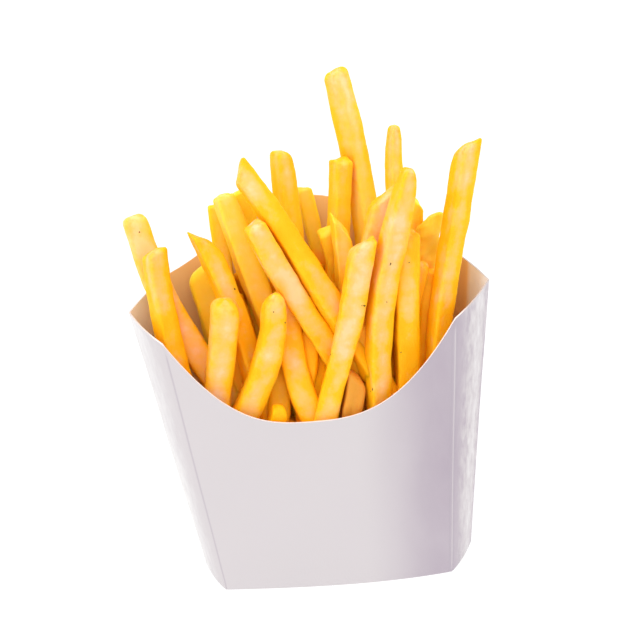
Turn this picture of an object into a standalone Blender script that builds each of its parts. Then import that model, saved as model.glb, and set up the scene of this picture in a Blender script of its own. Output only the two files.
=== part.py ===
"""French fries standing in a plain white paperboard scoop carton.

The carton is one folded sheet: a bowed front panel with a deep scoop, a bowed back panel with a
high arch, and at each end two narrow panels that meet in an outer crease. The fries are one heap:
a core that fills the carton below the scoop, with the fries that show fused to it.
Lengths are in millimetres until a mesh is made. +X is to the right seen from the front, -Y is the
front, +Z is up, and the origin is the middle of the underside that the carton stands on.
"""
import math

import bmesh
import bpy
import numpy as np

MM = 0.001

# Carton, half sizes at the base and at the height of the front creases' tops
FRONT_CREASE_TOP = 106.5
BASE_HALF_WIDTH = 43.5
TOP_HALF_WIDTH = 52.5
BASE_HALF_DEPTH = 14.5
TOP_HALF_DEPTH = 20.5
BASE_BOW = 3.2
TOP_BOW = 6.0

# Outer creases of the two ends
OUTER_BASE_HALF_WIDTH = 52.0
OUTER_TOP_HALF_WIDTH = 66.5
OUTER_BASE_HEIGHT = 4.5
OUTER_TOP = 112.0

# Cut edges: the scoop in front and the arch behind
SCOOP_BOTTOM = 72.2
SCOOP_POWER = 2.75
SCOOP_SHIFT = 2.4
BACK_CREASE_TOP = 118.0
ARCH_RISE = 23.5
ARCH_COSINE = 0.65
BOARD = 0.6

# Shares of an inset that a column near a crease and an outer crease move by
INSET_AT_CREASE = 0.5
INSET_AT_OUTER = 1.2

PANEL_STEPS = 24
END_STEPS = 3
HEIGHT_STEPS = 4

# Heap of fries
CORE_GAP = 1.1
CORE_FLOOR = 1.1
CORE_TOP = 62.0
CORE_BACK_RISE = 0.3
CORE_END_RISE = 9.0
FOOT_LEVEL = 60.0
FRY_STEPS = 4
CHAMFER_START = 0.56
TIP_NARROWING = 0.84
TURN = 0.35
MERGE = 0.000002
CONTACT = 0.97
WALL_CLEARANCE = 1.1
HALF_DIAGONAL = 0.6
RIM_MARGIN = 3.0
SEED = 11

# Direction in which the heap is looked at from the front. The lower fries part along it from
# those they run into, so that what stands in front stays in front.
SIGHT = np.array((-0.06, 0.93, -0.37))
SIGHT /= np.linalg.norm(SIGHT)
SETTLE_STEPS = 120
SETTLE_SHARE = 0.25
SETTLE_SAMPLES = np.linspace(0.25, 1.0, 10)
WALL_SAMPLES = np.linspace(0.0, 1.0, 16)

# Each fry that shows: its tip, its foot, how far its middle sways to the right, its thickness,
# and how much its end is cut on the slant
SHOWN_FRIES = {
    "far_left": ((-60.6, 7.1, 146.8), (-24.5, -5.3, 59.7), -5.5, 10.4, 0.0),
    "left_front": ((-52.6, -5.4, 137.1), (-41.9, -11.9, 58.5), -4.1, 9.7, 0.45),
    "left_wall": ((-41.1, 15.7, 120.7), (-27.4, 7.6, 59.2), -1.5, 9.7, 0.5),
    "left_point": ((-35.6, -0.1, 137.8), (-19.0, -9.3, 58.2), 2.6, 9.4, -1.2),
    "short_pale": ((-28.6, -14.7, 119.4), (-42.7, -11.0, 57.1), 1.1, 11.0, 0.0),
    "strip": ((-30.9, 14.9, 145.4), (-25.1, 5.4, 59.3), -1.8, 6.5, 0.0),
    "second": ((-26.9, 7.1, 151.3), (-6.4, 0.8, 56.7), 0.7, 9.7, 0.0),
    "notch": ((-20.7, 17.9, 149.3), (-17.6, 6.1, 58.5), -0.5, 8.4, 0.3),
    "long_pale": ((-15.8, -9.2, 144.5), (22.5, -5.0, 57.1), -0.9, 9.3, 0.05),
    "long_slant": ((-19.1, 0.0, 162.4), (29.3, -14.6, 65.6), 2.0, 9.5, 0.85),
    "front_curl": ((-11.2, -16.0, 120.1), (-37.4, -12.1, 57.1), 5.6, 10.6, 0.4),
    "front_dip": ((-8.7, -1.0, 110.9), (2.3, -15.3, 58.7), -3.8, 10.2, 0.0),
    "dip_shade": ((-2.9, 2.8, 101.8), (-0.3, -6.5, 58.8), 0.2, 7.7, 0.2),
    "dip_stub": ((-14.1, -17.9, 76.9), (-16.6, -16.6, 59.3), 0.3, 7.2, 0.0),
    "dip_end": ((-14.1, -1.2, 85.2), (-18.1, -12.9, 59.2), 0.6, 9.1, 0.0),
    "left_shade": ((-27.2, 3.3, 97.1), (-31.1, -7.8, 59.4), 0.0, 7.6, 0.0),
    "back_left": ((-4.6, 15.6, 162.9), (-5.4, 7.9, 60.0), 0.0, 9.8, -0.3),
    "back_small": ((1.3, 24.7, 145.5), (12.8, 17.0, 55.8), -0.4, 6.5, 0.0),
    "back_low": ((8.8, 6.5, 134.8), (24.7, 15.7, 54.4), -0.8, 6.9, 0.0),
    "back_point": ((14.6, 0.3, 138.2), (15.8, 8.6, 54.9), -0.6, 7.9, -1.4),
    "back_flat": ((16.7, 16.3, 157.7), (-3.6, 12.8, 56.8), 2.3, 8.7, 0.0),
    "tallest": ((17.4, 26.0, 188.8), (18.6, 12.3, 58.9), 5.2, 10.0, 0.1),
    "back_thin": ((37.0, 24.1, 166.1), (39.7, 14.3, 58.9), -3.5, 6.6, 0.0),
    "oblique": ((32.2, -4.0, 149.8), (-1.1, -2.4, 60.2), 2.0, 9.7, 1.1),
    "long_right": ((41.5, -14.5, 160.8), (21.4, -14.6, 58.8), -4.6, 9.9, -0.4),
    "right_pale": ((38.2, -7.0, 136.2), (31.3, -13.9, 59.4), 0.0, 9.5, 0.0),
    "behind_long": ((41.5, 18.2, 140.3), (27.1, 6.2, 59.4), 1.5, 7.6, -1.0),
    "rough": ((46.6, 11.2, 134.1), (26.0, -2.2, 63.0), 1.6, 9.9, 0.8),
    "small_tip": ((42.6, -2.9, 122.4), (22.7, -4.5, 59.3), 0.5, 6.4, 0.0),
    "right_shade": ((44.6, 1.4, 117.6), (36.0, -8.4, 60.7), 0.7, 6.5, 0.0),
    "far_right": ((62.7, 1.9, 163.2), (41.1, -12.5, 58.3), -2.1, 9.2, 0.8),
    "front_pale": ((23.0, -16.3, 136.5), (-0.8, -16.0, 59.0), 0.7, 9.2, 0.8),
    "front_brown": ((14.7, -13.8, 85.5), (8.7, -16.8, 59.9), 0.7, 7.6, 0.0),
    "behind_pale": ((21.2, -9.9, 103.9), (10.7, -3.5, 55.9), -0.9, 7.6, 0.0),
}

# Rows of lower fries that fill the back of the carton: depth, height of the tips, and ends in x
FILL_ROWS = ((18.0, 112.0, -30.0, 44.0), (9.0, 104.0, -34.0, 40.0), (0.0, 94.0, -36.0, 40.0))
FILL_SPACING = 10.0
FILL_THICKNESS = 8.6
FILL_SCATTER = (7.0, 2.0, 5.0)
FILL_FOOT_FORWARD = 3.0
FILL_SWAY = 1.5
FILL_THINNING = 0.8
FILL_SLANT = 0.5


def mix(low, high, share):
    """Value a share of the way from low to high."""
    return low + (high - low) * share


def front_rim(x):
    """Height of the front cut edge and of the end panels' front edge, at a place across.

    A power of the distance from the middle, with its low point a little to the left.
    """
    shifted = x + SCOOP_SHIFT * (1.0 - np.minimum(np.abs(x) / TOP_HALF_WIDTH, 1.0) ** 2)
    t = np.minimum(np.abs(shifted) / TOP_HALF_WIDTH, 1.0)
    beyond = np.maximum(np.abs(x) - TOP_HALF_WIDTH, 0.0) / (OUTER_TOP_HALF_WIDTH - TOP_HALF_WIDTH)
    scoop = SCOOP_BOTTOM + (FRONT_CREASE_TOP - SCOOP_BOTTOM) * t ** SCOOP_POWER
    return scoop + (OUTER_TOP - FRONT_CREASE_TOP) * beyond


def back_rim(x):
    """Height of the back cut edge: a cosine mixed with a parabola gives the pointed arch."""
    t = np.minimum(np.abs(x) / TOP_HALF_WIDTH, 1.0)
    beyond = np.maximum(np.abs(x) - TOP_HALF_WIDTH, 0.0) / (OUTER_TOP_HALF_WIDTH - TOP_HALF_WIDTH)
    arch = mix(1.0 - t * t, 0.5 + 0.5 * np.cos(np.pi * t), ARCH_COSINE)
    return BACK_CREASE_TOP + ARCH_RISE * arch + (OUTER_TOP - BACK_CREASE_TOP) * beyond


def half_depth(x, z):
    """Half the carton's outer depth at x and height z, and the cosine of the wall's slant there."""
    up = z / FRONT_CREASE_TOP
    crease = mix(BASE_HALF_WIDTH, TOP_HALF_WIDTH, up)
    side = mix(BASE_HALF_DEPTH, TOP_HALF_DEPTH, up)
    bow = mix(BASE_BOW, TOP_BOW, up)
    outer_up = (z - OUTER_BASE_HEIGHT) / (OUTER_TOP - OUTER_BASE_HEIGHT)
    outer = mix(OUTER_BASE_HALF_WIDTH, OUTER_TOP_HALF_WIDTH, outer_up)
    across = np.abs(x)
    panel = side + bow * (1.0 - (across / crease) ** 2)
    end = side * (outer - across) / (outer - crease)
    slant = (outer - crease) / np.hypot(outer - crease, side)
    return np.where(across < crease, panel, end), np.where(across < crease, 1.0, slant)


def wall_columns(inset, floor, front_top, back_top):
    """Bottom and top points of upright columns round the carton, anticlockwise seen from above.

    The loop starts at the left end of the front panel. A column of the front or back panel stands
    at a share t of the half width; its foot lies on the bowed base line and its head, at the
    height that front_top or back_top gives, on the bowed top line. An end panel is a straight
    blend between its two creases. inset moves the loop inwards, for what stands inside.
    """
    bottoms = []
    tops = []

    def panel(side, shares, top_height):
        for t in shares:
            base_x = (BASE_HALF_WIDTH - INSET_AT_CREASE * inset) * t
            rise_x = TOP_HALF_WIDTH - BASE_HALF_WIDTH
            base_y = BASE_HALF_DEPTH + BASE_BOW * (1.0 - t * t) - inset
            rise_y = TOP_HALF_DEPTH - BASE_HALF_DEPTH + (TOP_BOW - BASE_BOW) * (1.0 - t * t)
            up = top_height(TOP_HALF_WIDTH * t) / FRONT_CREASE_TOP
            low = floor / FRONT_CREASE_TOP
            bottoms.append((base_x + rise_x * t * low, side * (base_y + rise_y * low), floor))
            tops.append((base_x + rise_x * t * up, side * (base_y + rise_y * up),
                         up * FRONT_CREASE_TOP))

    def outer(side, top_height):
        top_z = top_height(OUTER_TOP_HALF_WIDTH)
        up = (top_z - OUTER_BASE_HEIGHT) / (OUTER_TOP - OUTER_BASE_HEIGHT)
        x_top = mix(OUTER_BASE_HALF_WIDTH, OUTER_TOP_HALF_WIDTH, up)
        inwards = INSET_AT_OUTER * inset
        bottoms.append((side * (OUTER_BASE_HALF_WIDTH - inwards), 0.0, OUTER_BASE_HEIGHT + floor))
        tops.append((side * (x_top - inwards), 0.0, top_z))

    panel(-1, np.linspace(-1.0, 1.0, PANEL_STEPS + 1), front_top)
    outer(1, front_top)
    panel(1, np.linspace(1.0, -1.0, PANEL_STEPS + 1), back_top)
    outer(-1, front_top)
    return split_end_panels(np.array(bottoms)), split_end_panels(np.array(tops))


def split_end_panels(loop):
    """Add evenly spaced points on the four end panels of a loop of wall columns."""
    count = PANEL_STEPS + 1
    right = count
    left = len(loop) - 1
    shares = np.arange(1, END_STEPS) / END_STEPS
    parts = [loop[:count]]
    for start, end in ((count - 1, right), (right, right + 1)):
        parts.append(mix(loop[start], loop[end], shares[:, None]))
        if end == right:
            parts.append(loop[right:right + 1])
    parts.append(loop[right + 1:left])
    parts.append(mix(loop[left - 1], loop[left], shares[:, None]))
    parts.append(loop[left:])
    parts.append(mix(loop[left], loop[0], shares[:, None]))
    return np.vstack(parts)


def add_walls(mesh, bottoms, tops):
    """Rings of faces between the bottom and top points; returns the rings of vertices."""
    rings = []
    for share in np.linspace(0.0, 1.0, HEIGHT_STEPS + 1):
        level = mix(bottoms, tops, share) * MM
        rings.append([mesh.verts.new(point) for point in level])
    for low, high in zip(rings, rings[1:]):
        for i in range(len(low)):
            j = (i + 1) % len(low)
            mesh.faces.new((low[i], low[j], high[j], high[i]))
    return rings


def add_cap(mesh, ring, upward):
    """Close a ring by strips that run from each front point to the back point behind it."""
    count = len(ring)
    left_outer = count - END_STEPS
    order = [ring[(left_outer + i) % count] for i in range(count)]
    half = count // 2
    for i in range(half):
        front = (order[i], order[i + 1])
        back = (order[-i - 1] if i < half - 1 else order[half], order[-i] if i else order[0])
        corners = [front[0], front[1], back[0], back[1]]
        unique = [v for k, v in enumerate(corners) if v not in corners[:k]]
        mesh.faces.new(unique if upward else unique[::-1])


def new_object(name, mesh, material):
    """Object that holds a finished bmesh, with its one material."""
    data = bpy.data.meshes.new(name)
    bmesh.ops.recalc_face_normals(mesh, faces=mesh.faces)
    mesh.to_mesh(data)
    mesh.free()
    data.materials.append(material)
    piece = bpy.data.objects.new(name, data)
    bpy.context.scene.collection.objects.link(piece)
    return piece


def plain_material(name, colour, roughness):
    """Principled material of one colour."""
    material = bpy.data.materials.new(name)
    material.use_nodes = True
    shader = material.node_tree.nodes["Principled BSDF"]
    shader.inputs["Base Color"].default_value = (*colour, 1.0)
    shader.inputs["Roughness"].default_value = roughness
    shader.inputs["Metallic"].default_value = 0.0
    return material


def make_carton():
    """Folded sheet: its outer face as an open surface, thickened inwards by the board."""
    mesh = bmesh.new()
    bottoms, tops = wall_columns(0.0, 0.0, front_rim, back_rim)
    rings = add_walls(mesh, bottoms, tops)
    add_cap(mesh, rings[0], upward=False)
    carton = new_object("carton", mesh, plain_material("white_paperboard", (0.80, 0.77, 0.78), 0.6))
    board = carton.modifiers.new("board", "SOLIDIFY")
    board.thickness = BOARD * MM
    board.offset = -1.0
    board.use_even_offset = True
    return carton


def core_top(x):
    """Height of the core against the front panel, rising towards the carton's ends."""
    return CORE_TOP + CORE_END_RISE * (x / TOP_HALF_WIDTH) ** 2


def core_top_behind(x):
    """Height of the core against the back panel."""
    depth = 2.0 * (TOP_HALF_DEPTH + TOP_BOW) * (1.0 - (x / OUTER_TOP_HALF_WIDTH) ** 2)
    return core_top(x) + CORE_BACK_RISE * depth


def make_core(material):
    """Closed solid that fills the carton below the fries that show."""
    mesh = bmesh.new()
    bottoms, tops = wall_columns(CORE_GAP, CORE_FLOOR, core_top, core_top_behind)
    rings = add_walls(mesh, bottoms, tops)
    add_cap(mesh, rings[0], upward=False)
    add_cap(mesh, rings[-1], upward=True)
    return new_object("fries", mesh, material)


def fry_paths(tips, feet, sway, shares):
    """Points on every fry's middle line: a straight line with a parabola's sideways sway."""
    points = mix(feet[:, None], tips[:, None], shares[None, :, None])
    points[..., 0] += sway[:, None] * 4.0 * shares * (1.0 - shares)
    return points


def outward_part(points, thickness):
    """How far each point of the middle lines stands too far out for its fry to clear the wall.

    Above the scoop the fries in front still stay behind the wall that carries them, and those at
    the back may lean over the arch.
    """
    x, y, z = points[..., 0], points[..., 1], points[..., 2]
    wall, slant = half_depth(x, np.minimum(z, np.where(y < 0.0, front_rim(x), back_rim(x))))
    room = np.maximum(wall - (HALF_DIAGONAL * thickness[:, None] + WALL_CLEARANCE) / slant, 0.0)
    held = (y < 0.0) | (z < back_rim(x) + RIM_MARGIN)
    return np.where(held, np.sign(y) * np.maximum(np.abs(y) - room, 0.0), 0.0)


def shift(tips, feet, move, shares):
    """Move tips and feet along the sight by the largest moves asked for, weighted by nearness."""
    at_tip = move * shares
    at_foot = move * (1.0 - shares)
    tip_move = np.maximum(at_tip.max(1), 0.0) + np.minimum(at_tip.min(1), 0.0)
    foot_move = np.maximum(at_foot.max(1), 0.0) + np.minimum(at_foot.min(1), 0.0)
    return tips + SIGHT * tip_move[:, None], feet + SIGHT * foot_move[:, None]


def settle(tips, feet, sway, thickness, placed):
    """Part the fries that run into each other, along the line of sight, and keep them inside.

    The first ones, placed in number, stay where they are, and the others move.

    Two fries touch where their middle lines come as near as their half thicknesses. Seen along
    SIGHT they pass at some distance across, so the depth they need is the other side of a right
    triangle. Which of two is in front is settled once, from where they start. Each round moves
    a fry by a share of what is missing, and moves back inside whatever has left the carton.
    """
    count = len(tips)
    samples = len(SETTLE_SAMPLES)
    reach = 0.5 * CONTACT * (thickness[:, None] + thickness[None, :])
    np.fill_diagonal(reach, 0.0)
    reach = reach.repeat(samples, 0).repeat(samples, 1)
    loose = np.where(np.arange(count) < placed, 0.0, 1.0)[:, None]
    order = None
    for _ in range(SETTLE_STEPS):
        points = fry_paths(tips, feet, sway, SETTLE_SAMPLES)
        flat = points.reshape(-1, 3)
        depth = flat @ SIGHT
        gap = depth[None] - depth[:, None]
        across = np.maximum(((flat[None] - flat[:, None]) ** 2).sum(-1) - gap ** 2, 0.0)
        need = np.sqrt(np.maximum(reach ** 2 - across, 0.0)).reshape(count, samples, count, samples)
        gap = gap.reshape(count, samples, count, samples)
        if order is None:
            order = np.sign((gap * need).sum((1, 3)))[:, None, :, None]
        missing = np.where(need > 0.0, np.maximum(need - order * gap, 0.0), 0.0)
        push = -order * missing
        move = SETTLE_SHARE * loose * (push.max((2, 3)) + push.min((2, 3)))
        tips, feet = shift(tips, feet, move, SETTLE_SAMPLES)
        points = fry_paths(tips, feet, sway, WALL_SAMPLES)
        move = -loose * outward_part(points, thickness) / SIGHT[1]
        tips, feet = shift(tips, feet, move, WALL_SAMPLES)
    return tips, feet


def place_fries():
    """Tips, feet, sway, thickness and slant of every fry, the shown ones first, then the fill."""
    rng = np.random.default_rng(SEED)
    rows = list(SHOWN_FRIES.values())
    for depth, height, left, right in FILL_ROWS:
        for x in np.arange(left, right, FILL_SPACING):
            lean_x, lean_y, lift, thin = rng.uniform(-1.0, 1.0, 4)
            scatter = np.multiply(FILL_SCATTER, (lean_x, lean_y, lift))
            rows.append((scatter + (x, depth, height), (x, depth - FILL_FOOT_FORWARD, FOOT_LEVEL),
                         FILL_SWAY * lean_y, FILL_THICKNESS + FILL_THINNING * thin,
                         FILL_SLANT * lean_x))
    tips, feet, sway, thickness, slant = (np.array(column, float) for column in zip(*rows))
    tips, feet = settle(tips, feet, sway, thickness, len(SHOWN_FRIES))
    return tips, feet, sway, thickness, slant


def chamfered_square():
    """Eight corners of a square of side 2 with its corners cut off, anticlockwise."""
    cut = math.atan2(CHAMFER_START, 1.0)
    quarters = np.arange(4) * 0.5 * math.pi
    angles = np.sort(np.concatenate((quarters - cut, quarters + cut)))
    return np.hypot(CHAMFER_START, 1.0) * np.stack((np.cos(angles), np.sin(angles)), axis=1)


def make_fry(tip, foot, sway, thickness, slant, turn):
    """One fry: a square with its corners cut off, carried along its swaying middle line.

    Its end narrows a little, and slant tips the end face so that its right side stands higher.
    """
    shares = np.linspace(0.0, 1.0, FRY_STEPS + 1)
    middle = fry_paths(tip[None], foot[None], np.array([sway]), shares)[0]
    along = tip - foot
    along /= np.linalg.norm(along)
    right = np.cross((0.0, 1.0, 0.0), along)
    right /= np.linalg.norm(right)
    away = np.cross(along, right)
    spin = np.array(((math.cos(turn), math.sin(turn)), (-math.sin(turn), math.cos(turn))))
    section = 0.5 * thickness * chamfered_square() @ spin
    mesh = bmesh.new()
    rings = []
    for share, centre in zip(shares, middle):
        end = share == 1.0
        flat = section * (TIP_NARROWING if end else 1.0)
        rise = slant * flat[:, :1] * along if end else 0.0
        ring = centre + flat[:, :1] * right + flat[:, 1:] * away + rise
        rings.append([mesh.verts.new(point * MM) for point in ring])
    for low, high in zip(rings, rings[1:]):
        for i in range(len(low)):
            j = (i + 1) % len(low)
            mesh.faces.new((low[i], low[j], high[j], high[i]))
    mesh.faces.new(rings[0][::-1])
    mesh.faces.new(rings[-1])
    return mesh


def keep_main_shell(piece):
    """Delete all but the largest connected shell, which fills sealed hollows and drops scraps."""
    mesh = bmesh.new()
    mesh.from_mesh(piece.data)
    bmesh.ops.triangulate(mesh, faces=mesh.faces)
    bmesh.ops.dissolve_degenerate(mesh, edges=mesh.edges, dist=MERGE)
    waiting = set(mesh.verts)
    shells = []
    while waiting:
        shell = set()
        front = [waiting.pop()]
        while front:
            vertex = front.pop()
            shell.add(vertex)
            beside = [edge.other_vert(vertex) for edge in vertex.link_edges]
            front += [v for v in beside if v in waiting]
            waiting.difference_update(beside)
        shells.append(shell)
    main_shell = max(shells, key=len)
    extra = [vertex for shell in shells if shell is not main_shell for vertex in shell]
    bmesh.ops.delete(mesh, geom=extra, context="VERTS")
    mesh.to_mesh(piece.data)
    mesh.free()


def make_fries():
    """Core with every fry joined to it by one union."""
    material = plain_material("fried_potato", (0.93, 0.55, 0.08), 0.45)
    core = make_core(material)
    sticks = bpy.data.collections.new("sticks")
    bpy.context.scene.collection.children.link(sticks)
    rng = np.random.default_rng(SEED + 1)
    for tip, foot, sway, thickness, slant in zip(*place_fries()):
        turn = rng.uniform(-TURN, TURN)
        stick = new_object("stick", make_fry(tip, foot, sway, thickness, slant, turn), material)
        bpy.context.scene.collection.objects.unlink(stick)
        sticks.objects.link(stick)
    union = core.modifiers.new("heap", "BOOLEAN")
    union.operation = "UNION"
    union.operand_type = "COLLECTION"
    union.collection = sticks
    union.solver = "EXACT"
    applied = bpy.data.meshes.new_from_object(core.evaluated_get(bpy.context.evaluated_depsgraph_get()))
    core.modifiers.clear()
    core.data = applied
    for stick in list(sticks.objects):
        bpy.data.objects.remove(stick)
    bpy.data.collections.remove(sticks)
    keep_main_shell(core)
    return core


def main():
    for leftover in list(bpy.data.objects):
        bpy.data.objects.remove(leftover)
    make_carton()
    make_fries()


main()
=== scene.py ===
"""Looks of a portion of french fries standing in a plain white paperboard scoop carton.

Lengths are in millimetres until a mesh is made. +X is to the right seen from the front, -Y is the
front, +Z is up. Shapes are surfaces of two parameters worked out as whole arrays: the carton's
sheet goes round and up, and a fry goes round and along. The solids' sizes come first, then the
shapes, the materials and the studio.
"""
import math

import bmesh
import bpy
import numpy as np
from mathutils import Matrix, Vector


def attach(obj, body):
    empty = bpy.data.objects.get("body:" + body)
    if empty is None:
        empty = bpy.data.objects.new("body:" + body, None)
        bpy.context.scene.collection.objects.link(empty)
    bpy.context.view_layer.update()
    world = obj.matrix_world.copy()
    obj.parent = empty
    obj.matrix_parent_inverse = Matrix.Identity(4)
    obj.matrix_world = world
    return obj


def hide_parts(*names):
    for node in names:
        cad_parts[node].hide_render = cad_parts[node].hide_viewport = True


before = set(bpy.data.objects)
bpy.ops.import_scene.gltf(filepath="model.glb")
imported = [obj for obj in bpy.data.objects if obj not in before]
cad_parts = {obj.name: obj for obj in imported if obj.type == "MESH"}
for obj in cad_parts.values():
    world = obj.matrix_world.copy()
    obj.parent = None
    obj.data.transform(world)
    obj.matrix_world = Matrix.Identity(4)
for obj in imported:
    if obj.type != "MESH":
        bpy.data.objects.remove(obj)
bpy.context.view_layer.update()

MM = 0.001
BODY = "root"

# Carton: half sizes at the base and at the height of the front creases' tops
FRONT_CREASE_TOP = 106.5
BASE_HALF_WIDTH = 43.5
TOP_HALF_WIDTH = 52.5
BASE_HALF_DEPTH = 14.5
TOP_HALF_DEPTH = 20.5
BASE_BOW = 3.2
TOP_BOW = 6.0
OUTER_BASE_HALF_WIDTH = 52.0
OUTER_TOP_HALF_WIDTH = 66.5
OUTER_BASE_HEIGHT = 4.5
OUTER_TOP = 112.0
SCOOP_BOTTOM = 72.2
SCOOP_POWER = 2.75
SCOOP_SHIFT = 2.4
BACK_CREASE_TOP = 118.0
ARCH_RISE = 23.5
ARCH_COSINE = 0.65
BOARD = 0.6
INSET_AT_CREASE = 0.5
INSET_AT_OUTER = 1.2
END_LENGTH = math.hypot(OUTER_TOP_HALF_WIDTH - TOP_HALF_WIDTH, TOP_HALF_DEPTH)
PANEL_LENGTH = 2.0 * TOP_HALF_WIDTH

# Fine form of the sheet: columns round it, levels up it, rounding and scoring of its creases
PANEL_SPACING = 1.6
END_SPACING = 1.4
NEAR_CREASE = np.array((0.3, 0.6, 0.9, 1.2, 1.6, 2.2))
LEVELS = 48
LEVEL_POWER = 0.9
FLOOR_ROWS = 8
CREASE_ROUNDING = 0.45
SHARP_ANGLE = 50.0
LEFT_SCORES = (0.3,)
RIGHT_SCORES = (-1.0, 0.9)
SCORE_DEPTH = 0.13
SCORE_WIDTH = 0.34
SCORE_START = 2.2
SCORE_FADE = 5.5
BOW_POWER = 2.0
BOW_POWER_RISE = 1.0
BOW_LEAN = 0.3
END_BULGE = 0.9
WARP = 0.22
WARP_LENGTH = 55.0
WARP_FREE_FROM = 0.25

# Tones of the outer skin round the sheet, from 0 shaded to 1 lightest, as painted shade and painted
# light. The places on the panel are shares of its width, and those on the ends are shares of the way
# to the outer crease
USUAL_TONE = 0.5
# Painted shade on the front panel towards its right crease
FRONT_SHADE = 0.36
FRONT_SHADE_PLACE = (0.62, 0.97)
FRONT_SHADE_GONE = 0.9
# Painted light over both end panels, and a painted shade at the right end's outer edge
LEFT_END_PAINTED_LIGHT = 0.5
RIGHT_END_PAINTED_LIGHT = 0.2
RIGHT_END_LIGHT_BY = 0.6
RIGHT_EDGE_PAINTED_SHADE = 0.4
RIGHT_EDGE_FROM = 0.7
# Painted highlight on the ridge between the two scores at the right crease
SCORE_HIGHLIGHT = 0.35
SCORE_HIGHLIGHT_WIDTH = 0.24
WORN_PLACE = (0.05, 0.4)
LEFT_WEAR = 0.45

# Inner skin tones: painted light at the outer creases and painted shade beside the panel's creases
INNER_RIGHT_PAINTED_LIGHT = 0.5
INNER_RIGHT_PLACE = (0.38, 0.54)
INNER_LEFT_PAINTED_LIGHT = 0.4
INNER_LEFT_PLACE = (0.2, 0.9)
INNER_LEFT_PAINTED_SHADE = 0.35
INNER_LEFT_SHADE_MIDDLE = 8.0
INNER_LEFT_SHADE_WIDTH = 9.0
INNER_RIGHT_PAINTED_SHADE = 0.2
INNER_RIGHT_SHADE_PLACE = (-8.0, 4.0)

# Heap
FOOT_LEVEL = 60.0
CONTACT = 0.97
WALL_CLEARANCE = 1.1
HALF_DIAGONAL = 0.6
RIM_MARGIN = 3.0
SEED = 11
SIGHT = np.array((-0.06, 0.93, -0.37))
SIGHT /= np.linalg.norm(SIGHT)
SETTLE_STEPS = 120
SETTLE_SHARE = 0.25
SETTLE_SAMPLES = np.linspace(0.25, 1.0, 10)
WALL_SAMPLES = np.linspace(0.0, 1.0, 16)

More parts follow.
